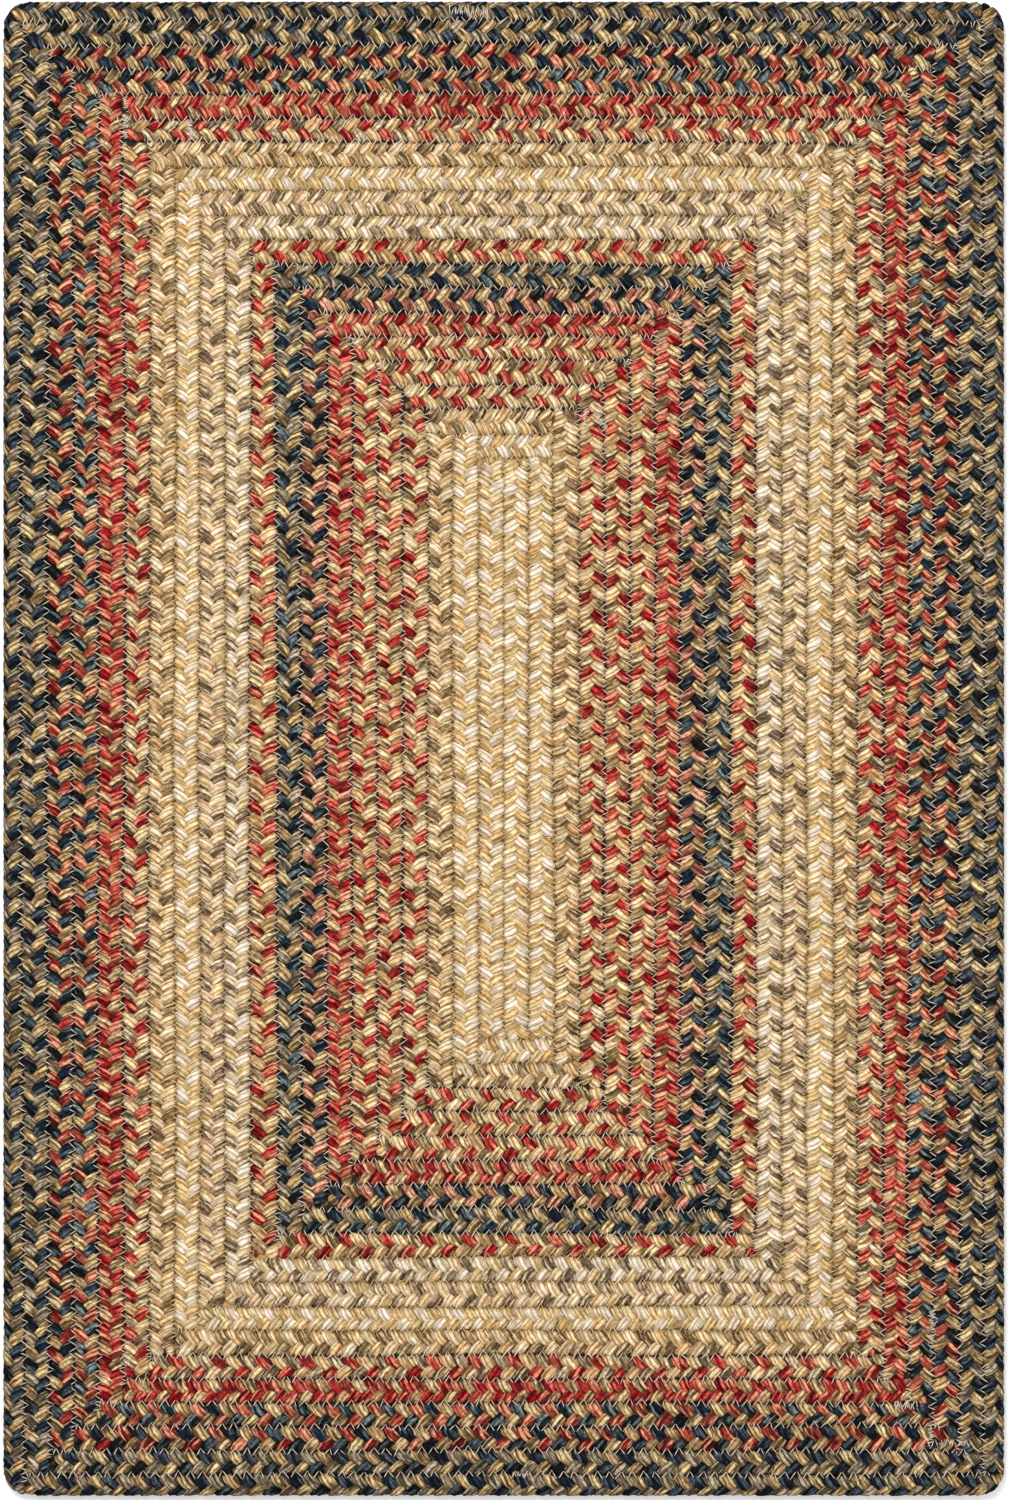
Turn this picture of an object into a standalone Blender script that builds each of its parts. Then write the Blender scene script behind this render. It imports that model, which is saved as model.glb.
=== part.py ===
"""A rectangular braided rug, lying flat.

One long flat braid lies in rows round a short seam in the middle, and each row is sewn to the next. The solid is
the whole mat: its rounded outline, the ridge that every row makes on both faces, and the groove between two rows,
where the sewing runs. The rug lies on its underside, with its length along Y.
"""

import math

import bmesh
import bpy

# Driving dimensions, in metres
RUG_WIDTH = 0.508  # 20 in, along X
RUG_LENGTH = 0.758  # 30 in nominal, along Y
THICKNESS = 0.009  # a flat braid of three strands
CORNER_RADIUS = 0.0125  # of the rug's outline
ROWS = 20  # rows of braid from the rug's side to the middle seam
ROW_WIDTH_SIDE = 0.01285  # a row along the rug's long sides
ROW_WIDTH_END = 0.0123  # a row along the rug's short ends, where the braid is sewn a little closer
EDGE_ROW_WIDTH = 0.00985  # the outermost row, whose outer strands turn down over the edge
GROOVE_DEPTH = 0.0025  # of the groove between two rows
LAND_SHARE = 0.5  # the flat middle of a row, as a share of its width
SEAM_RADIUS = 0.003  # a groove's corner, where the braid turns
EDGE_WALL = 0.003  # height of the upright middle of the rug's edge
MIDDLE_SEAM_WIDTH = 0.0008  # the bottom of the groove along the middle
CORNER_SEGMENTS = 3

YARN_COLOR = (0.52, 0.40, 0.25, 1.0)
YARN_ROUGHNESS = 0.9


def clear_scene():
    for obj in list(bpy.data.objects):
        bpy.data.objects.remove(obj, do_unlink=True)


def inset(rows):
    """Distances in from the rug's side and from its end to a point that many rows in, as (x, y)."""
    if rows <= 1:
        return rows * EDGE_ROW_WIDTH, rows * EDGE_ROW_WIDTH
    return (
        EDGE_ROW_WIDTH + (rows - 1) * ROW_WIDTH_SIDE,
        EDGE_ROW_WIDTH + (rows - 1) * ROW_WIDTH_END,
    )


def station(rows, radius, height):
    """A closed line round the rug, as (half width, half length, corner radius, height over the mid-plane)."""
    x, y = inset(rows)
    half_width = max(RUG_WIDTH / 2 - x, MIDDLE_SEAM_WIDTH / 2)
    return half_width, RUG_LENGTH / 2 - y, min(radius, 0.9 * half_width), height


def upper_stations():
    """The lines over the upper face, from the rug's edge to the middle seam."""
    ridge = THICKNESS / 2
    groove = ridge - GROOVE_DEPTH
    margin = (1 - LAND_SHARE) / 2
    lines = [station(0, CORNER_RADIUS, EDGE_WALL / 2)]
    for row in range(ROWS):
        land_radius = CORNER_RADIUS * (1 - margin) if row == 0 else SEAM_RADIUS
        lines.append(station(row + margin, land_radius, ridge))
        lines.append(station(row + 1 - margin, SEAM_RADIUS, ridge))
        lines.append(station(row + 1, SEAM_RADIUS, groove))
    return lines


def draw_line(bm, half_width, half_length, radius, height):
    """Adds the corners of a rectangle with rounded corners, and returns them in order."""
    verts = []
    for quarter in range(4):
        side_x = 1 if quarter in (0, 3) else -1
        side_y = 1 if quarter in (0, 1) else -1
        centre_x = side_x * (half_width - radius)
        centre_y = side_y * (half_length - radius)
        for step in range(CORNER_SEGMENTS + 1):
            angle = math.radians(90) * (quarter + step / CORNER_SEGMENTS)
            x = centre_x + radius * math.cos(angle)
            y = centre_y + radius * math.sin(angle)
            verts.append(bm.verts.new((x, y, height)))
    return verts


def loft(bm, line, next_line):
    """Joins two lines of equal length with a ring of faces. The lines lie too close together to be bridged."""
    for i in range(len(line)):
        bm.faces.new((line[i - 1], line[i], next_line[i], next_line[i - 1]))


def build_rug(collection):
    """Lofts the skin from the middle seam out over the upper face, round the edge and back in underneath."""
    upper = upper_stations()
    lower = [(*line[:3], -line[3]) for line in upper]
    bm = bmesh.new()
    lines = [draw_line(bm, *line) for line in reversed(upper)]
    lines += [draw_line(bm, *line) for line in lower]
    for line, next_line in zip(lines, lines[1:]):
        loft(bm, line, next_line)
    for middle_seam in (lines[0], lines[-1]):
        bm.faces.new(middle_seam)
    bmesh.ops.triangulate(bm, faces=bm.faces)
    bmesh.ops.recalc_face_normals(bm, faces=bm.faces)

    mesh = bpy.data.meshes.new("braided_rug")
    bm.to_mesh(mesh)
    bm.free()
    rug = bpy.data.objects.new("braided_rug", mesh)
    rug.location.z = THICKNESS / 2
    collection.objects.link(rug)
    return rug


def yarn_material():
    material = bpy.data.materials.new("braided_yarn")
    material.use_nodes = True
    shader = material.node_tree.nodes["Principled BSDF"]
    shader.inputs["Base Color"].default_value = YARN_COLOR
    shader.inputs["Roughness"].default_value = YARN_ROUGHNESS
    shader.inputs["Metallic"].default_value = 0.0
    return material


def main():
    clear_scene()
    collection = bpy.data.collections.new("braided_rug")
    bpy.context.scene.collection.children.link(collection)
    rug = build_rug(collection)
    rug.data.materials.append(yarn_material())


main()
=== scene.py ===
"""The looks of the braided rug.

Twenty rows of three-strand braid lie round a middle seam. Every strand is modelled as it runs through the
braid, each row is sewn to the next with a zigzag thread on both faces, and a thin bed coloured with painted
shade closes the mat between them. The script adds the floor, the light and the camera over it.
"""

import math

import bmesh
import bpy
import numpy as np
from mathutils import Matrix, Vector
from mathutils.bvhtree import BVHTree


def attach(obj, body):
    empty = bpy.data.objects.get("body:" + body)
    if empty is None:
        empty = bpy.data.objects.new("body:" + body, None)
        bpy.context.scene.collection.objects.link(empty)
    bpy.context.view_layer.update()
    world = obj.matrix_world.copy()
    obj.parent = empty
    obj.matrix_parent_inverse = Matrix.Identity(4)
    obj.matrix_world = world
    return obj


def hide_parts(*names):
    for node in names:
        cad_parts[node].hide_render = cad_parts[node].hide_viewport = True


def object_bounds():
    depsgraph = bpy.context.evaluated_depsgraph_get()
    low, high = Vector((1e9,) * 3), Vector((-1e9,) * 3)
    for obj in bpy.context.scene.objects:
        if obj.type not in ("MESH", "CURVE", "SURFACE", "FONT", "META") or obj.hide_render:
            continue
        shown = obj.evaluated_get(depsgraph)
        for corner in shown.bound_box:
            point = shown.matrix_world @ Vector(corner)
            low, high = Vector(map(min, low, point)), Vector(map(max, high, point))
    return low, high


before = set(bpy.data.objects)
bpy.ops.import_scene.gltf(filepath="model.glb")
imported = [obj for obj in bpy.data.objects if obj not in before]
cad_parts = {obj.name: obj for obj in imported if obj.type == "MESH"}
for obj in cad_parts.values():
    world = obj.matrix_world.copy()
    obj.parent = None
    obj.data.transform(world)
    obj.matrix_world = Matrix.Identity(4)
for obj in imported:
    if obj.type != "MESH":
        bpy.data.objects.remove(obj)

CAD_BOX = [list(corner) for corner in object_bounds()]
NODE = "braided_rug"
MM = 0.001
TURN = 2 * math.pi
TINY = 1e-6

# The mat, in metres
HALF_WIDTH, HALF_LENGTH, THICKNESS = (round(size, 4) for size in CAD_BOX[1])
OUTLINE_RADIUS = 0.0155

# The sides in the order in which the braid runs: up the left, over the top, down the right and back below
LEFT, TOP, RIGHT, BOTTOM = range(4)
TRAVEL = ((0, 1), (1, 0), (0, -1), (-1, 0))
OUTWARD = ((-1, 0), (0, 1), (1, 0), (0, -1))

# Rows count from 1 at the edge. Seam 0 is the edge, and each other seam has its outer row's number.
ROW_COUNT = 20  # from the rug's side to its middle seam
RINGS = 18  # rows of braid that close round the mat; the braid of the middle winds on inside them
OPEN_ROW = 5  # the row whose left side ends under the row outside it

# The outer seams, in millimetres in from the rug's edge at its corners, and the step to each seam after them
SIDE_SEAMS = (0, 11.5, 23.9, 36.6, 48.7)
SIDE_STEP = 12.84
END_SEAMS = (0, 11.4, 23.2, 35.3, 47.3)
END_STEP = 12.3
# How far the outer seams bow towards the edge halfway along the left, top, right and bottom
SEAM_BOW = (
    (0, 2.5, 1.3, 1.1, 0.4),
    (0, 2.0, 1.4, 1.2, 0.5),
    (0, 1.6, 0.8, 0.5, 0.2),
    (0, 0.4, 0.2, 0.1, 0),
)
BOW_SHAPE = 0.7  # the power of a sine; less makes a seam bow out sooner
MARKS = 61  # places along a side where the depth of its seams is kept
SEAM_WAVER = 0.45  # how far a sewn seam strays, in millimetres
SIDE_BENDS = 9  # at how many places it may stray, along a side and along an end
END_BENDS = 7
EDGE_ROW_INNER_HALF = 6.5  # of the outermost row, in millimetres; its outer half turns down over the edge
EDGE_SOFTNESS = 1.1  # how near to the outline the strands are pressed back, in millimetres
MIDDLE_COLUMN = 12.7  # the width of a row beside the middle seam, in millimetres

# The braid, in millimetres
HALF_ROW = 6.42  # from the middle of a row to its seam, where it is neither bowed nor squeezed
SWING = 5.0  # how far a strand swings to each side
LIFT = 2.1  # how far it rises and dips
DWELL = 2.5  # how quickly it comes up to its full height
SLANT = 0.09  # how straight a strand runs from one edge of the braid to the other
STEEPNESS = 0.8  # its slope between the edges, against the steepest place of an even wave
STRAND_HALF_THICKNESS = 2.3
STRAND_FULLNESS = 1.33  # a strand's width against the room between two crossings
STRAND_TIP = 0.1  # what is left of its width at a cut end
EVEN_PITCH = 6.4  # the length of a crossing in which a strand has just its own width
SQUEEZE = 0.4  # how far a shorter or longer crossing makes it narrower or wider
INNER_CROSSING = 5 / 8  # where in its wave a strand lies uppermost on the braid's inner side
OVER_TOP = 0.17  # how much closer its rings of points lie over the top
TURN_OVER = 1.5  # how suddenly it turns over at the edges of the braid
CORNER_REACH = 11.0  # how far from a corner the braid begins to be uneven

# How unevenly it is braided
PITCH_WAVER = 0.05
PITCH_REACH = 45  # from one change of pitch to the next, in millimetres
FEWEST_CHANGES = 4
MOST_WAVER = 1.5  # no pitch strays further than this many times its waver
NUB_SHIFT = 0.35  # how far a nub strays along the braid, to its side and in height, in millimetres
NUB_SWING = 0.2
NUB_LIFT = 0.14
NUB_WIDTH = 0.06  # by what share its width and its thickness differ
NUB_THICKNESS = 0.04
CORNER_LOOSENESS = 0.5  # how much further the nubs stray at a corner, in millimetres
NUB_CHANGES = 2  # how often all this changes in a full wave of a strand

# The strands' meshes
SEGMENTS = 14  # along one full wave of a strand
STRAND_SIDES = 6
LOWEST = 0.02  # how far a mesh stays above the floor, in millimetres
OVERHANG = 3.0  # how far the count of crossings goes on past the ends of a braid, in millimetres
PLACE_STEP = 2  # about how far apart the places are at which they are counted, in millimetres
FEWEST_PLACES = 4
YARN_LENGTH = 3000  # a strand's pattern begins anywhere along this length of yarn, in millimetres
STRIP_SHAPE = 11.0  # rings of faces in a strip of the colour map against the number of strips
STRIP_MARGIN = 0.05  # what a strip leaves free on each side

# The zigzag sewing, in millimetres
JOINTS = (  # from x, y to x, y, with the stitch and half its width
    (-191.9, 330.0, -191.9, 305.0, 1.7, 1.8),  # the fifth row ends below the fourth row's top
    (-160.0, 318.0, -158.0, 309.0, 1.9, 1.9),
    (214.5, -352.1, 235.5, -352.1, 4.8, 2.2),
    (217.0, -284.0, 217.2, -303.0, 3.0, 2.1),
    (216.6, -341.5, 216.8, -351.5, 2.9, 2.0),
    (-27.3, 373.2, -18.1, 373.0, 2.7, 3.5),
    (-18.1, 373.0, -7.5, 372.6, 4.0, 3.7),
    (4.2, -367.9, 13.3, -367.9, 2.5, 1.9),
    (197.5, -333.0, 207.0, -333.0, 3.2, 2.8),
    (46.5, 170.0, 52.5, 162.0, 2.4, 2.0),
    (41.7, 172.0, 40.7, 163.0, 2.2, 1.8),
)
JOINT_POINTS = 30
JOINT_WAVER = 0.12
STITCH = 5.9
CORNER_STITCH = 3.8
CORNER_STITCHES = 1.3  # how far the closer stitches reach, against the reach of a corner
STITCH_HALF_WIDTH = 2.25
STITCH_WAVER = 0.075  # by what share a stitch's length and its width differ
STITCH_WIDTH_WAVER = 0.13
OVERRUN = 3.5  # how far a seam is sewn on past the corner where it begins
HEADING_REACH = 0.6  # how far before and after a stitch the seam's way is read
THREAD_RADIUS = 0.3
THREAD_SIDES = 3
THREAD_EDGE = 0.25  # one of its edges lies uppermost, a quarter turn from its side
FEWEST_STITCHES = 4
THREAD_LEAST_HEIGHT = 0.05  # of the thread's middle, over the floor
THREAD_MOST_HEIGHT = 0.5  # how far the thread's middle may stand above the mat
HOLE_DEPTH = 0.45
STITCH_TESTS = (0.3, 0.5, 0.7)  # where along a stitch the strands below it are felt
SUNK = 0.3  # how far the thread sinks into them there: its middle stays this share of its radius above
RAY_START = 0.05  # how far above and below the floor a ray starts, and how far it goes, in metres
RAY_LENGTH = 0.2


def linear(red, green, blue):
    """A colour read as 0 to 255 on a screen, as Blender wants it."""
    values = [c / 255 for c in (red, green, blue)]
    return tuple(v / 12.92 if v <= 0.04045 else ((v + 0.055) / 1.055) ** 2.4 for v in values) + (1.0,)


# Each yarn has a tone on its inner and its outer side, with dark and light lines between them. The light
# lines are partly painted highlight, and the dark tone also paints the shade in gaps and creases
YARNS = {
    "navy": ((25, 36, 49), (18, 22, 31), (12, 9, 7), (80, 91, 98)),
    "ink": ((24, 37, 51), (27, 24, 24), (12, 9, 7), (76, 86, 92)),
    "slate": ((34, 48, 58), (25, 25, 27), (12, 9, 7), (114, 125, 124)),
    "teal": ((23, 34, 46), (40, 55, 65), (12, 9, 7), (112, 124, 122)),
    "tan": ((188, 150, 98), (170, 136, 92), (38, 28, 18), (222, 194, 142)),
    "taupe": ((144, 126, 101), (124, 108, 88), (32, 26, 21), (188, 169, 139)),
    "red": ((182, 54, 47), (165, 26, 31), (48, 11, 8), (226, 132, 102)),
    "crimson": ((166, 36, 38), (146, 12, 22), (38, 8, 7), (216, 102, 82)),
    "ember": ((164, 56, 47), (138, 30, 30), (38, 12, 10), (224, 150, 114)),
    "salmon": ((190, 98, 71), (162, 65, 49), (44, 19, 14), (226, 150, 114)),
    "mauve": ((186, 113, 90), (158, 86, 71), (50, 31, 24), (230, 168, 136)),
    "coral": ((188, 82, 62), (166, 46, 40), (52, 18, 13), (226, 146, 112)),
    "blush": ((206, 112, 84), (182, 60, 51), (58, 24, 17), (236, 168, 132)),
    "grey": ((162, 137, 102), (150, 122, 94), (56, 41, 28), (220, 196, 154)),
    "stone": ((160, 128, 88), (194, 146, 100), (56, 40, 26), (224, 192, 142)),
    "brown": ((164, 133, 92), (140, 112, 80), (76, 56, 34), (204, 176, 130)),
    "dusk": ((162, 136, 104), (140, 116, 90), (76, 58, 40), (218, 194, 158)),
    "cream": ((228, 204, 162), (225, 193, 152), (164, 131, 80), (234, 215, 182)),
    "wheat": ((226, 186, 131), (222, 175, 122), (128, 94, 52), (240, 212, 166)),
    "straw": ((226, 198, 150), (221, 188, 137), (162, 132, 78), (233, 212, 176)),
    "ivory": ((233, 217, 193), (231, 213, 187), (176, 148, 108), (235, 222, 204)),
    "gold": ((220, 184, 129), (216, 174, 114), (152, 118, 66), (230, 204, 156)),
    "peach": ((231, 201, 166), (228, 193, 154), (164, 126, 80), (234, 214, 184)),
    "olive": ((172, 142, 95), (182, 140, 98), (56, 39, 24), (226, 199, 150)),
}

# Rows from the edge inwards: the three yarns in the order in which they follow along the braid, the length
# of a crossing along the sides and along the ends, and where the first yarn shows on the row's inner half,
# on the left, at the top, on the right and at the bottom. All places and lengths are in millimetres, and the
# places are measured from the rug's middle.
ROWS = (
    (("navy", "tan", "taupe"), 7.3, 7.7, (0.9, -1.9, 5.5, 9.3)),
    (("ink", "tan", "taupe"), 7.3, 7.8, (0.5, -4.4, -8.7, -8.0)),
    (("ink", "ember", "tan"), 6.9, 7.3, (-7.3, -3.4, -3.2, -3.9)),
    (("slate", "salmon", "tan"), 6.7, 7.3, (3.4, -7.0, 1.4, 8.2)),
    (("crimson", "stone", "coral"), 5.7, 6.0, (-5.2, -4.4, -0.6, 6.2)),
    (("red", "grey", "wheat"), 6.8, 7.05, (5.1, 0.6, 9.5, 5.7)),
    (("brown", "cream", "wheat"), 6.4, 7.1, (0.2, -6.0, 4.9, 4.7)),
    (("ivory", "straw", "gold"), 6.1, 6.3, (3.4, 8.2, -3.7, -3.9)),
    (("dusk", "straw", "peach"), 6.2, 6.6, (4.4, 10.3, 8.5, -6.5)),
    (("dusk", "straw", "ivory"), 6.3, 6.5, (5.1, -8.5, -2.7, 2.7)),
    (("red", "olive", "wheat"), 6.7, 7.1, (-0.5, 8.2, 0.9, 4.2)),
    (("teal", "tan", "taupe"), 7.6, 7.65, (7.6, -8.5, -0.6, 3.7)),
    (("ink", "mauve", "tan"), 6.7, 7.25, (9.1, 6.7, -7.2, 0.6)),
    (("crimson", "stone", "blush"), 5.8, 6.2, (-3.0, -4.9, 8.5, -0.4)),
    (("red", "wheat", "olive"), 6.3, 6.95, (-1.2, 7.2, 1.4, -7.0)),
    (("red", "wheat", "olive"), 6.2, 6.85, (0.5, 1.1, 6.0, 1.1)),
    (("red", "straw", "olive"), 6.2, 6.95, (-6.6, -2.9, 0.4, -8.0)),
    (("cream", "wheat", "brown"), 6.2, 6.7, (-1.2, 3.7, -7.2, 2.0)),
    # The braid of the middle, with a place for each of its lengths from the middle seam outwards
    (("ivory", "gold", "straw"), 6.1, 6.3, (0.0, 5.0, 0.0, 2.0, 0.0, -9.4)),
)

chance = np.random.default_rng(20)


# ---------------------------------------------------------------- the way of the braid


def softened(share):
    """A share from 0 to 1 that leaves 0 and reaches 1 gently."""
    return share * share * (3 - 2 * share)


def running_sum(rate, places):
    """What a rate has added up to at each place, from 0 at the first."""
    return np.concatenate(([0], np.cumsum((rate[1:] + rate[:-1]) / 2 * np.diff(places))))


def distances(path):
    """How far along a path each of its points lies."""
    return np.concatenate(([0], np.cumsum(np.linalg.norm(np.diff(path, axis=0), axis=1))))


def unit(vectors):
    """Vectors with their lengths made 1."""
    return vectors / np.maximum(np.linalg.norm(vectors, axis=1), TINY)[:, None]


def waver(amount, bends):
    """A slow random waver along one leg."""
    heights = chance.normal(0, amount, bends)
    place = np.linspace(0, 1, MARKS) * (bends - 1)
    low = np.clip(place.astype(int), 0, bends - 2)
    share = softened(place - low)
    return heights[low] * (1 - share) + heights[low + 1] * share


def is_long(side):
    """Whether a side is the rug's left or right one."""
    return side in (LEFT, RIGHT)


def side_length(side):
    """The length of a side, in millimetres."""
    return 2 * (HALF_LENGTH if is_long(side) else HALF_WIDTH) / MM


def neighbours(side):
    """The side before and the side after it, in the order in which the braid runs."""
    return (side - 1) % 4, (side + 1) % 4


def seam_depth(seam, along_side):
    """How far in from the edge a seam lies at the corners, on a long side or at an end, in millimetres."""
    outer, step = (SIDE_SEAMS, SIDE_STEP) if along_side else (END_SEAMS, END_STEP)
    last = len(outer) - 1
    return outer[seam] if seam <= last else outer[last] + (seam - last) * step


def seam_table():
    """How far in from the edge each seam lies, for each side of the rug and along it, in millimetres."""
    table = np.zeros((4, ROW_COUNT + 1, MARKS))
    belly = np.sin(math.pi * np.linspace(0, 1, MARKS)) ** BOW_SHAPE
    for side in range(4):
        for seam in range(1, ROW_COUNT + 1):
            bow = SEAM_BOW[side][seam] if seam < len(SEAM_BOW[side]) else 0
            stray = waver(SEAM_WAVER, SIDE_BENDS if is_long(side) else END_BENDS)
            table[side, seam] = seam_depth(seam, is_long(side)) - bow * belly + stray
    return table


class Leg:
    """A straight length of braid on one side of the rug. Places along it are measured from the corner where
    that side begins, and depths inwards from the rug's edge, in millimetres."""

    def __init__(self, side, first, last, outer, inner, outer_half=None):
        self.full = side_length(side)
        self.along_side = is_long(side)
        self.first, self.last = first, last
        self.travel = np.array(TRAVEL[side], float)
        self.outward = np.array(OUTWARD[side], float)
        self.corner = (self.outward - self.travel) * (HALF_WIDTH / MM, HALF_LENGTH / MM)
        outer, inner = outer + np.zeros(MARKS), inner + np.zeros(MARKS)
        middle = (outer + inner) / 2 if outer_half is None else inner - outer_half
        self.depths = outer, middle, inner

    def place(self, along, across):
        """The place on the mat of points that lie across the braid, from 1 on its outer edge to -1."""
        outer, middle, inner = (
            np.interp(along / self.full, np.linspace(0, 1, MARKS), depth) for depth in self.depths
        )
        depth = middle + np.maximum(across, 0) * (outer - middle) + np.maximum(-across, 0) * (inner - middle)
        return self.corner + along[:, None] * self.travel - depth[:, None] * self.outward

    def inner_edge(self):
        """Places a millimetre apart along the inner edge of the braid."""
        along = np.arange(self.first, self.last, 1.0)
        return self.place(along, -np.ones_like(along))

    def near_end(self, along):
        """1 at the ends of the length and 0 beyond their reach."""
        return np.clip(1 - np.minimum(along - self.first, self.last - along) / CORNER_REACH, 0, 1)

    def measured_from_middle(self, place):
        """How far along this side a place lies that is given as x or y from the rug's middle."""
        return self.full / 2 + place * (self.travel[1] if self.along_side else self.travel[0])


def ring_legs(row, seams):
    """The four lengths of a row that runs round the mat. Each length covers the corner where it begins and
    ends against the next one. In one row the left length ends under the row outside it instead, and the top
    length begins beside it."""
    legs = []
    for side in range(4):
        before, after = neighbours(side)
        first = seams[before, row - 1, -1]
        last = side_length(side) - seams[after, row, 0]
        if row == OPEN_ROW and side == LEFT:
            last = side_length(side) - seams[after, row - 1, 0]
        if row == OPEN_ROW and side == TOP:
            first = seams[before, row, -1]
        outer_half = EDGE_ROW_INNER_HALF if row == 1 else None
        legs.append(Leg(side, first, last, seams[side, row - 1], seams[side, row], outer_half))
    return legs


def middle_legs(seams):
    """The start of the braid: down and up beside the middle seam, and once round those two columns."""
    width, length = side_length(TOP), side_length(LEFT)
    side_outer, end_outer = seam_depth(RINGS, True), seam_depth(RINGS, False)
    side_inner, end_inner = width / 2 - MIDDLE_COLUMN, seam_depth(RINGS + 1, False)
    fine = waver(SEAM_WAVER / 2, END_BENDS)
    return [
        Leg(RIGHT, end_inner, length - end_inner, side_inner, width / 2),
        Leg(LEFT, end_inner, length - end_inner, side_inner, width / 2),
        Leg(TOP, side_inner, width - side_outer, end_outer, end_inner),
        Leg(RIGHT, end_inner, length - end_inner, seams[RIGHT, RINGS], side_inner + fine),
        Leg(BOTTOM, side_outer, width - side_inner, seams[BOTTOM, RINGS], end_inner),
        Leg(LEFT, end_outer, length - end_outer, seams[LEFT, RINGS], side_inner + fine),
    ]


def inside_outline(flat):
    """Presses points near the mat's outline, and those beyond it, back inside it."""
    radius = OUTLINE_RADIUS / MM
    core = np.array((HALF_WIDTH - OUTLINE_RADIUS, HALF_LENGTH - OUTLINE_RADIUS)) / MM
    beyond = np.maximum(np.abs(flat) - core, 0)
    reach = np.maximum(np.linalg.norm(beyond, axis=1), TINY)
    depth = radius - reach
    pressed = np.where(depth < EDGE_SOFTNESS, EDGE_SOFTNESS * np.exp(depth / EDGE_SOFTNESS - 1), depth)
    share = (radius - pressed) / reach
    return np.sign(flat) * (np.minimum(np.abs(flat), core) + beyond * share[:, None])


# ---------------------------------------------------------------- braiding


def crossing_table(leg, pitch):
    """Places along a length of braid, and how many of its crossings lie before each."""
    steps = int((leg.last - leg.first) / PLACE_STEP) + FEWEST_PLACES
    places = np.linspace(leg.first - OVERHANG, leg.last + OVERHANG, steps)
    changes = np.linspace(places[0], places[-1], max(FEWEST_CHANGES, int(np.ptp(places) / PITCH_REACH)))
    uneven = chance.normal(0, 1, len(changes)).clip(-MOST_WAVER, MOST_WAVER)
    rate = (1 + PITCH_WAVER * np.interp(places, changes, uneven)) / pitch
    count = running_sum(rate, places)
    return places, count - np.interp(leg.full / 2, places, count)


def nub_noise(wave):
    """Random values that change from nub to nub of a strand, blended along it."""
    place = (wave - wave.min()) / TURN * NUB_CHANGES
    values = chance.normal(0, 1, int(place.max()) + 3)
    low = np.floor(place).astype(int)
    share = softened(place - low)
    return values[low] * (1 - share) + values[low + 1] * share


def lay_strand(leg, crossings, offset):
    """The rings of points round one strand of a length of braid, and how far along the strand they lie. Its
    crossings on the inner side lie at the given offset, and every three crossings from there."""
    places, counts = crossings
    first, last = np.interp((leg.first, leg.last), places, counts)
    steps = int((last - first) / 3 * SEGMENTS) + 2
    phase = INNER_CROSSING * TURN + TURN / 3 * (np.linspace(first, last, steps) - offset)
    phase = phase + OVER_TOP * np.cos(2 * phase)
    loose, shift, plump = (nub_noise(phase) for _ in range(3))

    # The middle line, along the braid, across it and in height
    count = (phase / TURN - INNER_CROSSING) * 3 + offset
    along = np.interp(count, counts, places)
    pitch = np.interp(count + 0.5, counts, places) - np.interp(count - 0.5, counts, places)
    corner_loose = CORNER_LOOSENESS * leg.near_end(along)
    along = along + (NUB_SHIFT + corner_loose) * shift
    swing = SWING + (NUB_SWING + corner_loose) * loose
    across = swing * (np.sin(phase) - SLANT * np.sin(3 * phase)) / (1 + SLANT)
    height = LIFT * np.tanh(DWELL * np.sin(2 * phase)) / math.tanh(DWELL) + NUB_LIFT * plump
    centre = np.stack((along, across, height), axis=1)

    slope = SWING * STEEPNESS * TURN / (3 * pitch)
    room = EVEN_PITCH + SQUEEZE * (pitch - EVEN_PITCH)
    half_width = room * slope / np.sqrt(1 + slope**2) / 2 * STRAND_FULLNESS * (1 + NUB_WIDTH * plump)
    half_thick = STRAND_HALF_THICKNESS * (1 + NUB_THICKNESS * loose)
    half_width[[0, -1]] *= STRAND_TIP
    half_thick[[0, -1]] *= STRAND_TIP

    # The strand's upper side turns over with it at the edges of the braid
    ahead = unit(np.gradient(centre, axis=0))
    roll = math.pi / 2 * (1 - np.clip(TURN_OVER * np.cos(phase), -1, 1))
    up = np.stack((0 * roll, np.sin(roll), np.cos(roll)), axis=1)
    up = unit(up - (up * ahead).sum(axis=1)[:, None] * ahead)
    rings = rings_round(centre, half_width, half_thick, np.cross(ahead, up), up, STRAND_SIDES, 0)
    return rings, distances(centre)


def rings_round(centre, half_width, half_thick, aside, up, sides, share):
    """Rings of points round a middle line. Their first points lie a share of a turn round from its side."""
    turn = TURN * (np.arange(sides) / sides + share)
    return (
        centre[:, None, :]
        + (half_width[:, None] * np.cos(turn))[:, :, None] * aside[:, None, :]
        + (half_thick[:, None] * np.sin(turn))[:, :, None] * up[:, None, :]
    )


def tube_faces(rings, sides):
    """The corners of the faces between rings of points, and the ring and the side where each face begins."""
    ring, side = np.meshgrid(np.arange(rings - 1), np.arange(sides), indexing="ij")
    ring, side = ring.ravel(), side.ravel()
    next_side = (side + 1) % sides
    corners = ((ring, side), (ring, next_side), (ring + 1, next_side), (ring + 1, side))
    return np.column_stack([a * sides + b for a, b in corners]), ring, side


def corner_map(u0, u1, v0, v1):
    """Map places for the four corners of faces that span u0 to u1 and v0 to v1."""
    return np.stack([np.column_stack(pair) for pair in ((u0, v0), (u0, v1), (u1, v1), (u1, v0))], axis=1)


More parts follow.
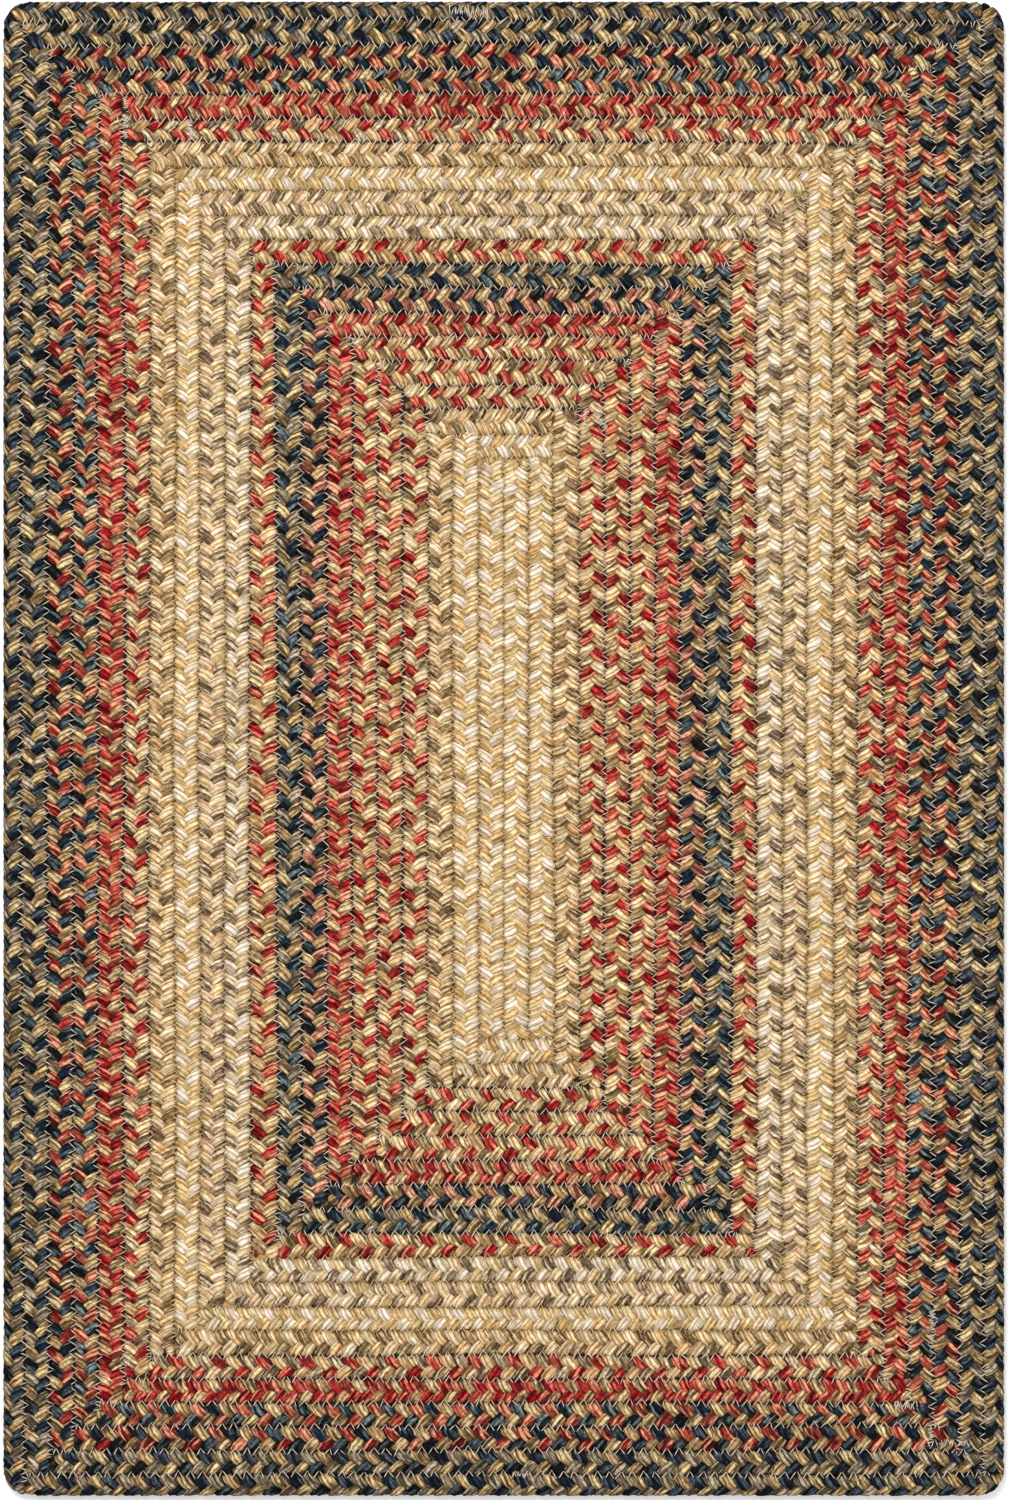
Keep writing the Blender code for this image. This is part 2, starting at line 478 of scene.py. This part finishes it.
def strips_map(strands):
    """A map for the colours, with every strand cut into strips that lie over each other."""
    total = sum(ring[-1] + 1 for ring, _ in strands)
    per_strip = math.ceil(math.sqrt(total * STRIP_SHAPE))
    strips = sum(math.ceil((ring[-1] + 1) / per_strip) for ring, _ in strands)
    strip_width = 1 - 2 * STRIP_MARGIN
    placed = []
    first = 0
    for ring, side in strands:
        strip = first + ring // per_strip
        low, high = (
            (strip + STRIP_MARGIN + strip_width * (side + step) / STRAND_SIDES) / strips for step in (0, 1)
        )
        here = ring % per_strip
        placed.append(corner_map(here / per_strip, (here + 1) / per_strip, low, high))
        first += math.ceil((ring[-1] + 1) / per_strip)
    return np.concatenate(placed)


def braid_row(name, legs, yarns, side_pitch, end_pitch, starts):
    """Lengths of braid as a single mesh, with three strands in each. A start is the place, measured from the
    rug's middle, of a crossing of the first yarn on the braid's inner side."""
    verts, quads, yarn_of_face, yarn_places, strands = [], [], [], [], []
    offset = 0
    for leg, start in zip(legs, starts):
        crossings = crossing_table(leg, side_pitch if leg.along_side else end_pitch)
        first = np.interp(leg.measured_from_middle(start), *crossings)
        for strand in range(3):
            rings, far = lay_strand(leg, crossings, first + strand)
            along, across, height = (rings[..., axis].ravel() for axis in range(3))
            flat = inside_outline(leg.place(along, across / HALF_ROW))
            height = np.clip(height + THICKNESS / MM / 2, LOWEST, THICKNESS / MM)
            verts.append(np.column_stack((flat, height)) * MM)
            faces, ring, side = tube_faces(len(rings), STRAND_SIDES)
            quads.append(offset + faces)
            yarn_of_face.append(np.full(len(faces), strand))
            far = (far + chance.uniform(0, YARN_LENGTH)) * MM
            low, high = side / STRAND_SIDES, (side + 1) / STRAND_SIDES
            yarn_places.append(corner_map(far[ring], far[ring + 1], low, high))
            strands.append((ring, side))
            offset += len(rings) * STRAND_SIDES
    maps = {"strand": np.concatenate(yarn_places), "OFBake": strips_map(strands)}
    mesh_parts = (np.concatenate(part) for part in (verts, quads, yarn_of_face))
    return mesh_piece(name, *mesh_parts, maps, [yarn_material(yarn) for yarn in yarns])


def mesh_piece(name, verts, quads, slots, maps, materials):
    """A mesh from arrays of places, four-cornered faces, material numbers and maps."""
    mesh = bpy.data.meshes.new(name)
    mesh.vertices.add(len(verts))
    mesh.vertices.foreach_set("co", verts.astype(np.float32).ravel())
    mesh.loops.add(quads.size)
    mesh.loops.foreach_set("vertex_index", quads.astype(np.int32).ravel())
    mesh.polygons.add(len(quads))
    mesh.polygons.foreach_set("loop_start", np.arange(0, quads.size, 4, dtype=np.int32))
    mesh.polygons.foreach_set("material_index", slots.astype(np.int32))
    mesh.polygons.foreach_set("use_smooth", np.ones(len(quads), bool))
    for map_name, corners in maps.items():
        layer = mesh.uv_layers.new(name=map_name)
        layer.data.foreach_set("uv", corners.astype(np.float32).ravel())
    mesh.update(calc_edges=True)
    mesh.validate()
    return placed_object(name, mesh, materials)


def placed_object(name, mesh, materials):
    """Puts a mesh with its materials into the scene, unturned at the origin."""
    for material in materials:
        mesh.materials.append(material)
    obj = bpy.data.objects.new(name, mesh)
    bpy.context.scene.collection.objects.link(obj)
    return obj


# ---------------------------------------------------------------- sewing


def strands_tree(rows):
    """All rows' faces, made ready to be felt by the sewing thread."""
    verts, faces = [], []
    offset = 0
    for piece in rows:
        places = np.empty(len(piece.data.vertices) * 3, np.float32)
        piece.data.vertices.foreach_get("co", places)
        corners = np.empty(len(piece.data.loops), np.int32)
        piece.data.loops.foreach_get("vertex_index", corners)
        verts.append(places.reshape(-1, 3))
        faces.append(corners.reshape(-1, 4) + offset)
        offset += len(piece.data.vertices)
    return BVHTree.FromPolygons(np.concatenate(verts).tolist(), np.concatenate(faces).tolist())


def surface(tree, point, facing):
    """How high the strands stand at a point, above the underside as seen from that face, in millimetres."""
    start = Vector((point[0] * MM, point[1] * MM, RAY_START * facing))
    hit, _, _, _ = tree.ray_cast(start, Vector((0, 0, -facing)), RAY_LENGTH)
    if hit is None:
        return THICKNESS / MM / 2
    return hit.z / MM if facing > 0 else THICKNESS / MM - hit.z / MM


def stitch_marks(length, stitch):
    """How far along a seam the needle goes through. The stitches lie closer near the corners."""
    far = np.arange(0, length + 1, 1.0) * length / int(length + 1)
    from_end = np.minimum(far, length - far)
    closer = np.clip(CORNER_STITCHES - from_end / CORNER_REACH, 0, 1)
    passed = running_sum((1 + (STITCH / CORNER_STITCH - 1) * closer) * 2 / stitch, far)
    count = max(FEWEST_STITCHES, int(round(passed[-1])))
    marks = np.interp(np.linspace(0, passed[-1], count + 1), passed, far)
    marks[1:-1] += chance.normal(0, STITCH_WAVER * stitch, count - 1)
    return marks


def stitch_middle(tree, facing, start, end):
    """The middle of a stitch from hole to hole, high enough for the thread to clear the strands."""
    chord = (start[2] + end[2]) / 2
    height = chord + THREAD_RADIUS
    for share in STITCH_TESTS:
        level = surface(tree, start[:2] + (end[:2] - start[:2]) * share, facing) + THREAD_RADIUS * SUNK
        straight = start[2] + (end[2] - start[2]) * share
        height = max(height, chord + (level - straight) / (2 * min(share, 1 - share)))
    return (*((start[:2] + end[:2]) / 2), min(height, THICKNESS / MM + THREAD_MOST_HEIGHT))


def zigzag_line(path, stitch, half_width, tree, facing):
    """The places that one zigzag thread runs through, over the strands that it holds. On the underside it
    runs straight from hole to hole."""
    far = distances(path)
    marks = stitch_marks(far[-1], stitch)

    def at(distance):
        distance = np.clip(distance, 0, far[-1])
        return np.column_stack([np.interp(distance, far, path[:, axis]) for axis in range(2)])

    heading = unit(at(marks + HEADING_REACH) - at(marks - HEADING_REACH))
    normal = np.column_stack((-heading[:, 1], heading[:, 0]))
    side = np.where(np.arange(len(marks)) % 2 == 0, 1, -1) * half_width
    side = side * (1 + chance.normal(0, STITCH_WIDTH_WAVER, len(marks)))
    flat = inside_outline(at(marks) + normal * side[:, None])
    holes = np.array([(*point, surface(tree, point, facing) - HOLE_DEPTH) for point in flat])
    if facing < 0:
        return holes
    line = []
    for start, end in zip(holes, holes[1:]):
        line += [start, stitch_middle(tree, facing, start, end)]
    return np.array([*line, holes[-1]])


def zigzag(name, lines, tree, facing):
    """The sewing thread along all the seams of one face. facing is 1 on top and -1 below."""
    verts, quads = [], []
    offset = 0
    for path, stitch, half_width in lines:
        line = zigzag_line(path, stitch, half_width, tree, facing)
        if facing < 0:
            line[:, 2] = np.maximum(THICKNESS / MM - line[:, 2], THREAD_LEAST_HEIGHT)
        ahead = unit(np.gradient(line, axis=0))
        aside = unit(np.cross(ahead, (0, 0, 1.0)))
        radii = np.full(len(line), THREAD_RADIUS)
        rings = rings_round(line, radii, radii, aside, np.cross(aside, ahead), THREAD_SIDES, THREAD_EDGE)
        verts.append(rings.reshape(-1, 3) * MM)
        faces, _, _ = tube_faces(len(line), THREAD_SIDES)
        quads.append(offset + faces)
        offset += len(line) * THREAD_SIDES
    verts, quads = np.concatenate(verts), np.concatenate(quads)
    verts[:, 2] = np.maximum(verts[:, 2], LOWEST * MM)
    return mesh_piece(name, verts, quads, np.zeros(len(quads)), {}, [thread_material()])


def seam_lines(seams):
    """The lines that are sewn, each with its stitch and half its width: the inner edge of every ring, the
    seams of the middle braid, and the joints where braids were sewn end to end."""
    lines = []
    for row in range(1, RINGS + 1):
        for side in range(4):
            before, after = neighbours(side)
            first = seams[before, row, -1] - OVERRUN
            last = side_length(side) - seams[after, row, 0]
            sewn = Leg(side, first, last, 0, seams[side, row])
            lines.append((sewn.inner_edge(), STITCH, STITCH_HALF_WIDTH))
    for leg in middle_legs(seams)[1:]:
        lines.append((leg.inner_edge(), STITCH, STITCH_HALF_WIDTH))
    for x0, y0, x1, y1, stitch, half_width in JOINTS:
        path = np.linspace((x0, y0), (x1, y1), JOINT_POINTS)
        path += chance.normal(0, JOINT_WAVER, path.shape)
        lines.append((path, stitch, half_width))
    return lines


# ---------------------------------------------------------------- materials

# The single yarns that lie side by side on a strand
YARN_LINES = 8  # round it
YARN_TWIST = 40.0  # how many of them pass in a metre, because the strand is a little twisted
YARN_FULLNESS = 2.5  # how flat the top of a yarn is from one line to the next

# Noise along the strands: how often it changes in a metre and from one line to the next, and its detail
TONE_GROUPS = (75.0, 0.35, 1.0)
SINGLE_TONES = (90.0, 7.3, 1.0)
DARK_LINES = (110.0, 0.9, 0.0)
LIGHT_LINES = (120.0, 0.9, 0.0)
FIBRES = (700.0, 1.6, 2.0)
DARK_LINES_START = 31.0  # so that the dark and the light lines fall apart
LIGHT_LINES_START = 57.0
NOISE_ROUGHNESS = 0.6

# How that noise is read: from, to, and what it comes to at each
SIDE_SHARE = 0.2  # how far the side of the strand, and the single yarn, decide on its tone
SINGLE_SHARE = 0.6
TONE_STEP = (0.66, 0.94)
DARK_STEP = (0.49, 0.6, 0.0, 0.7)
# the light lines are partly lighter single yarns and partly painted highlight
LIGHT_LINE_AND_HIGHLIGHT_STEP = (0.49, 0.6, 0.0, 0.9)
PAINTED_GAP_SHADE = (0.0, 0.9, 0.8, 0.0)  # painted shade: how much dark tone lies between two single yarns, and on top of one
# painted shade between single yarns and a painted highlight on top of each
PAINTED_RIDGE_SHADE = (0.0, 0.9, 0.8, 1.05)
PAINTED_EDGE_SHADE = (0.0, 0.012, 0.7, 1.0)  # painted shade near the rug's edge, where the braid turns down away from the light; from the edge inwards, in metres
END_SHADE = (0.0, 1.0, 1.0, 0.95)  # of rows that run along the rug and across it
PATCH_SHADE = (0.3, 0.7, 0.85, 1.15)
PATCH_SCALE = 120.0
FIBRE_LOW, FIBRE_HIGH = 0.3, 0.7
FIBRE_SHADE = 0.9  # of the middle between them; a coarse yarn's shade goes further to both sides
FIBRE_ROUGHNESS = (0.95, 0.75)
FIBRE_HEIGHT = 0.7  # against the height of a single yarn
COARSE_DARK = 0.6  # how coarse the darkest yarn is, and how much less the lightest is
COARSE_FALL = 0.66
PAINTED_CREASE_SHADE_FROM = -0.0012  # painted crease shade: nearer the mat's middle plane the yarn is painted in its dark tone; how far from that plane its own colour begins to show, in metres
PAINTED_CREASE_SHADE_COARSE = 0.0048  # and how much further out it does on a coarse yarn
PAINTED_CREASE_SHADE_TO = 0.0036  # where it shows fully
RIM_LIT = (0.0015, 0.004, 0.003, 0.0)  # near the rug's edge its own colour shows all the way down, free of the painted crease shade
YARN_GLOSS = 0.08
BUMP_STRENGTH = 0.6  # of an even yarn; a coarse one has more
BUMP_DEPTH = 0.0004

# The light rows, in metres in from the rug's edge: where their band begins and ends, and the middle begins
LIGHT_BEGINS = (0.073, 0.077)
LIGHT_ENDS = (0.1235, 0.1265)
MIDDLE_BEGINS = (0.213, 0.217)

THREAD_WHITE = ((210, 195, 172), (234, 223, 204))
# over the light rows: painted warm light thrown back by the light yarn, and painted shade
THREAD_PAINTED_BOUNCE_AND_SHADE = ((190, 160, 106), (226, 206, 164))
THREAD_WEAR = (0.35, 0.65)
THREAD_WEAR_SCALE = 300.0
THREAD_ROUGHNESS = 0.6
# The bed's colours are painted shade for the braid's hidden inside: dark under the dark rows, light brown
# under the light ones
BED_PAINTED_SHADE_DARK_ROWS = ((16, 12, 10), (42, 33, 25))
BED_PAINTED_SHADE_LIGHT_ROWS = (186, 148, 92)
BED_FUZZ_SCALE = 900.0
BED_ROUGHNESS = 0.95


class Wiring:
    """Short words for wiring the nodes of one material."""

    def __init__(self, material):
        material.use_nodes = True
        self.tree = material.node_tree
        self.shader = self.tree.nodes["Principled BSDF"]
        self.place = self.node("ShaderNodeTexCoord").outputs["Object"]

    def node(self, kind, inputs=None, **settings):
        """A node of a kind, with its inputs fed and its settings made."""
        made = self.tree.nodes.new(kind)
        for name, value in settings.items():
            setattr(made, name, value)
        for name, value in (inputs or {}).items():
            self.feed(made.inputs[name], value)
        return made

    def feed(self, socket, value):
        """Links a socket to another one, or sets it to a value."""
        if isinstance(value, bpy.types.NodeSocket):
            self.tree.links.new(value, socket)
        else:
            socket.default_value = value

    def maths(self, operation, *values):
        """The result of a sum with up to three values."""
        made = self.node("ShaderNodeMath", operation=operation)
        for index, value in enumerate(values):
            self.feed(made.inputs[index], value)
        return made.outputs[0]

    def blend(self, share, first, second, how="MIX"):
        """The first colour where the share is 0, and the second where it is 1."""
        made = self.node("ShaderNodeMix", data_type="RGBA", blend_type=how)
        self.feed(made.inputs[0], share)
        self.feed(made.inputs[6], first)
        self.feed(made.inputs[7], second)
        return made.outputs[2]

    def spread(self, value, low, high, to_low=0.0, to_high=1.0):
        """A value between two limits, read as a value between two others."""
        limits = {"From Min": low, "From Max": high, "To Min": to_low, "To Max": to_high}
        return self.node("ShaderNodeMapRange", {"Value": value, **limits}).outputs[0]

    def noise(self, scale, detail):
        """Noise through space."""
        inputs = {"Vector": self.place, "Scale": scale, "Detail": detail}
        return self.node("ShaderNodeTexNoise", inputs).outputs[0]

    def streaks(self, along, line, kind, start=0.0):
        """Noise along a strand and from one of its lines to the next."""
        changes, across, detail = kind
        x = self.maths("MULTIPLY_ADD", along, changes, start)
        flat = self.node("ShaderNodeCombineXYZ", {0: x, 1: self.maths("MULTIPLY", line, across)}).outputs[0]
        inputs = {"Vector": flat, "Scale": 1.0, "Detail": detail, "Roughness": NOISE_ROUGHNESS}
        return self.node("ShaderNodeTexNoise", inputs, noise_dimensions="2D").outputs[0]


def yarn_material(name):
    """Plied jute: single yarns along the strand in two tones, with dark lines, light lines that are partly
    painted highlight, and painted shade in the gaps and creases.
    """
    known = bpy.data.materials.get(name + "_yarn")
    if known:
        return known
    inner, outer, dark, light = (linear(*tone) for tone in YARNS[name])
    coarse = COARSE_DARK - COARSE_FALL * sum(inner[:3]) / 3
    material = bpy.data.materials.new(name + "_yarn")
    w = Wiring(material)
    split = w.node("ShaderNodeSeparateXYZ", {0: w.node("ShaderNodeUVMap", uv_map="strand").outputs[0]})
    along, round_it = split.outputs[0], split.outputs[1]
    line = w.maths("MULTIPLY_ADD", along, YARN_TWIST, w.maths("MULTIPLY", round_it, YARN_LINES))
    from_middle = w.maths("ABSOLUTE", w.maths("MULTIPLY_ADD", w.maths("FRACT", line), 2.0, -1.0))
    ridge = w.maths("SUBTRACT", 1.0, w.maths("POWER", from_middle, YARN_FULLNESS))
    fibres = w.streaks(along, line, FIBRES)

    colour = w.blend(w.spread(yarn_tone(w, along, round_it, line), *TONE_STEP), inner, outer)
    shaded = w.streaks(along, line, DARK_LINES, DARK_LINES_START)
    colour = w.blend(w.spread(shaded, *DARK_STEP), colour, dark)
    bright = w.streaks(along, line, LIGHT_LINES, LIGHT_LINES_START)
    # light lines: partly lighter single yarns, partly painted highlight
    colour = w.blend(w.spread(bright, *LIGHT_LINE_AND_HIGHLIGHT_STEP), colour, light)
    # painted shade in the gaps between single yarns
    colour = w.blend(w.spread(ridge, *PAINTED_GAP_SHADE), colour, dark)
    # painted shade in the creases: the yarn turns to its dark tone as it sinks towards the mat's middle
    # plane
    colour = w.blend(w.spread(outness(w), PAINTED_CREASE_SHADE_FROM + PAINTED_CREASE_SHADE_COARSE * coarse, PAINTED_CREASE_SHADE_TO), dark, colour)
    shade = yarn_shade(w, fibres, ridge, coarse)
    grey = w.node("ShaderNodeCombineXYZ", {0: shade, 1: shade, 2: shade}).outputs[0]
    w.feed(w.shader.inputs["Base Color"], w.blend(1.0, colour, grey, "MULTIPLY"))

    w.feed(w.shader.inputs["Roughness"], w.spread(fibres, FIBRE_LOW, FIBRE_HIGH, *FIBRE_ROUGHNESS))
    w.shader.inputs["Specular IOR Level"].default_value = YARN_GLOSS
    bump = {
        "Height": w.maths("MULTIPLY_ADD", fibres, FIBRE_HEIGHT, ridge),
        "Strength": min(1, BUMP_STRENGTH + coarse),
        "Distance": BUMP_DEPTH,
    }
    w.feed(w.shader.inputs["Normal"], w.node("ShaderNodeBump", bump).outputs[0])
    return material


def yarn_tone(w, along, round_it, line):
    """A value that turns with the strand, drifts along it and differs a little from yarn to yarn."""
    side = w.maths("SINE", w.maths("MULTIPLY", round_it, TURN))
    number = w.maths("FLOORED_MODULO", w.maths("FLOOR", line), YARN_LINES)
    single = w.streaks(along, number, SINGLE_TONES)
    tone = w.maths("MULTIPLY_ADD", single, SINGLE_SHARE, w.streaks(along, line, TONE_GROUPS))
    return w.maths("MULTIPLY_ADD", side, SIDE_SHARE, tone)


def yarn_shade(w, fibres, ridge, coarse):
    """How light or dark a yarn is made by its fibres, by painted shade and highlight over its roundness, by
    painted shade near the rug's edge and by its place on the rug.
    """
    shade = w.spread(fibres, FIBRE_LOW, FIBRE_HIGH, FIBRE_SHADE - coarse, FIBRE_SHADE + coarse)
    for part in (
        # painted shade and highlight over each single yarn's roundness
        w.spread(ridge, *PAINTED_RIDGE_SHADE),
        # painted shade near the rug's edge
        w.spread(inset(w), *PAINTED_EDGE_SHADE),
        w.spread(at_ends(w), *END_SHADE),
        w.spread(w.noise(PATCH_SCALE, 1.0), *PATCH_SHADE),
    ):
        shade = w.maths("MULTIPLY", shade, part)
    return shade


def outness(w):
    """How far a place lies above or below the mat's middle plane, which sets the painted crease shade. The
    rug's rim counts as far out, so it is not painted dark.
    """
    height = w.node("ShaderNodeSeparateXYZ", {0: w.place}).outputs[2]
    out = w.maths("ABSOLUTE", w.maths("SUBTRACT", height, THICKNESS / 2))
    return w.maths("MAXIMUM", out, w.spread(inset(w), *RIM_LIT))


def insets(w):
    """How far in from the rug's sides and from its ends a place lies."""
    split = w.node("ShaderNodeSeparateXYZ", {0: w.place})
    from_side = w.maths("SUBTRACT", HALF_WIDTH, w.maths("ABSOLUTE", split.outputs[0]))
    from_end = w.maths("SUBTRACT", HALF_LENGTH, w.maths("ABSOLUTE", split.outputs[1]))
    return from_side, from_end


def inset(w):
    """How far in from the rug's edge a place lies."""
    return w.maths("MINIMUM", *insets(w))


def at_ends(w):
    """1 where the rows run across the rug, which are a little darker, and 0 where they run along it."""
    from_side, from_end = insets(w)
    return w.maths("LESS_THAN", from_end, from_side)


def over_light_rows(w):
    """1 where the light rows lie and 0 elsewhere."""
    depth = inset(w)
    light = w.maths("SUBTRACT", w.spread(depth, *LIGHT_BEGINS), w.spread(depth, *LIGHT_ENDS))
    return w.maths("ADD", light, w.spread(depth, *MIDDLE_BEGINS))


def thread_material():
    """Off-white thread, painted warmer and darker over the light rows for the warm light thrown back by the
    yarn and the shade it lies in.
    """
    known = bpy.data.materials.get("sewing_thread")
    if known:
        return known
    material = bpy.data.materials.new("sewing_thread")
    w = Wiring(material)
    worn = w.spread(w.noise(THREAD_WEAR_SCALE, 1.0), *THREAD_WEAR)
    white = w.blend(worn, *(linear(*tone) for tone in THREAD_WHITE))
    # painted warm bounce light and shade over the light rows
    painted_bounce_and_shade = w.blend(worn, *(linear(*tone) for tone in THREAD_PAINTED_BOUNCE_AND_SHADE))
    w.feed(w.shader.inputs["Base Color"], w.blend(over_light_rows(w), white, painted_bounce_and_shade))
    w.shader.inputs["Roughness"].default_value = THREAD_ROUGHNESS
    return material


def painted_shade_bed_material():
    """Painted shade for the braid's inside, deep between the strands: dark under the dark rows and light
    brown under the light ones.
    """
    material = bpy.data.materials.new("painted_shade_bed")
    w = Wiring(material)
    shadow = w.blend(w.noise(BED_FUZZ_SCALE, 2.0), *(linear(*tone) for tone in BED_PAINTED_SHADE_DARK_ROWS))
    w.feed(w.shader.inputs["Base Color"], w.blend(over_light_rows(w), shadow, linear(*BED_PAINTED_SHADE_LIGHT_ROWS)))
    w.shader.inputs["Roughness"].default_value = BED_ROUGHNESS
    return material


# ---------------------------------------------------------------- the bed between the strands

# In metres
BED_MARGIN = 0.003  # from the mat's outline to the bed's
BED_CORNER = 0.011
BED_CORNER_SEGMENTS = 4
BED_GRID = (4, 6)  # how many squares it has across and along
BED_THICKNESS = 0.0026


def rug_bed():
    """A thin flat sheet at the height where the strands cross, a little smaller than the mat, coloured with
    painted shade.
    """
    bm = bmesh.new()
    bmesh.ops.create_grid(bm, x_segments=BED_GRID[0], y_segments=BED_GRID[1], size=1.0)
    bmesh.ops.scale(bm, vec=(HALF_WIDTH - BED_MARGIN, HALF_LENGTH - BED_MARGIN, 1), verts=bm.verts)
    corners = [v for v in bm.verts if len(v.link_edges) == 2]
    bmesh.ops.bevel(
        bm,
        geom=corners,
        offset=BED_CORNER,
        offset_type="OFFSET",
        segments=BED_CORNER_SEGMENTS,
        profile=0.5,
        affect="VERTICES",
        material=-1,
    )
    bmesh.ops.translate(bm, vec=(0, 0, (THICKNESS + BED_THICKNESS) / 2), verts=bm.verts)
    bmesh.ops.recalc_face_normals(bm, faces=bm.faces)
    if sum(face.normal.z for face in bm.faces) < 0:
        bmesh.ops.reverse_faces(bm, faces=bm.faces)
    bmesh.ops.solidify(bm, geom=bm.faces[:], thickness=BED_THICKNESS)
    bmesh.ops.recalc_face_normals(bm, faces=bm.faces)
    mesh = bpy.data.meshes.new("rug_bed")
    bm.to_mesh(mesh)
    bm.free()
    return placed_object("rug_bed", mesh, [painted_shade_bed_material()])


# ---------------------------------------------------------------- floor, light and camera

FLOOR_SIZE = 8
FLOOR_DROP = 0.0002  # below the rug, in metres
FLOOR_COLOR = (0.98, 0.98, 0.98, 1)
FLOOR_ROUGHNESS = 0.9
SKY_STRENGTH = 0.86
LAMPS = (  # the place, the size and the power of each
    ("key", (-0.55, 1.35, 2.5), 1.3, 51.0),
    ("fill", (1.8, -1.2, 2.2), 2.2, 12.0),
)
LENS = 100.0
SENSOR = 36.0
VIEW_CENTRE = (0.00038, -0.00063)  # the photograph's middle on the mat, in metres
VIEW_HALF_HEIGHT = 0.38045
VIEW_END = 50


def pale_floor():
    """The plain floor that the rug lies on."""
    bpy.ops.mesh.primitive_plane_add(size=FLOOR_SIZE, location=(0, 0, -FLOOR_DROP))
    floor = bpy.context.object
    floor.name = "floor"
    material = bpy.data.materials.new("pale_floor")
    material.use_nodes = True
    shader = material.node_tree.nodes["Principled BSDF"]
    shader.inputs["Base Color"].default_value = FLOOR_COLOR
    shader.inputs["Roughness"].default_value = FLOOR_ROUGHNESS
    floor.data.materials.append(material)


def studio_light():
    """Even light from all round, with a soft lamp above the far end and a weak one at the near right."""
    world = bpy.data.worlds.new("studio")
    world.use_nodes = True
    background = world.node_tree.nodes["Background"]
    background.inputs["Color"].default_value = (1, 1, 1, 1)
    background.inputs["Strength"].default_value = SKY_STRENGTH
    bpy.context.scene.world = world
    for name, place, size, power in LAMPS:
        lamp = bpy.data.lights.new(name, "AREA")
        lamp.shape = "DISK"
        lamp.size = size
        lamp.energy = power
        lamp_object = bpy.data.objects.new(name, lamp)
        lamp_object.location = place
        lamp_object.rotation_euler = (-Vector(place)).to_track_quat("-Z", "Y").to_euler()
        bpy.context.scene.collection.objects.link(lamp_object)


def overhead_camera():
    """A camera straight above the rug, as in the photograph."""
    camera_data = bpy.data.cameras.new("camera")
    camera_data.lens = LENS
    camera_data.sensor_width = SENSOR
    camera_data.clip_end = VIEW_END
    camera = bpy.data.objects.new("camera", camera_data)
    camera.location = (*VIEW_CENTRE, THICKNESS / 2 + VIEW_HALF_HEIGHT * LENS / (SENSOR / 2))
    bpy.context.scene.collection.objects.link(camera)
    bpy.context.scene.camera = camera
    bpy.context.scene.view_settings.view_transform = "Standard"


def main():
    seams = seam_table()
    rows = []
    for row, braid in enumerate(ROWS, start=1):
        name = f"braid_row_{row:02d}" if row <= RINGS else "braid_middle"
        legs = ring_legs(row, seams) if row <= RINGS else middle_legs(seams)
        rows.append(braid_row(name, legs, *braid))

    tree = strands_tree(rows)
    lines = seam_lines(seams)
    top = zigzag("zigzag_thread_top", lines, tree, 1)
    under = zigzag("zigzag_thread_under", lines, tree, -1)

    bed = rug_bed()
    for piece in (*rows, top, under, bed):
        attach(piece, "root")
        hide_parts(NODE)
    pale_floor()
    studio_light()
    overhead_camera()


main()
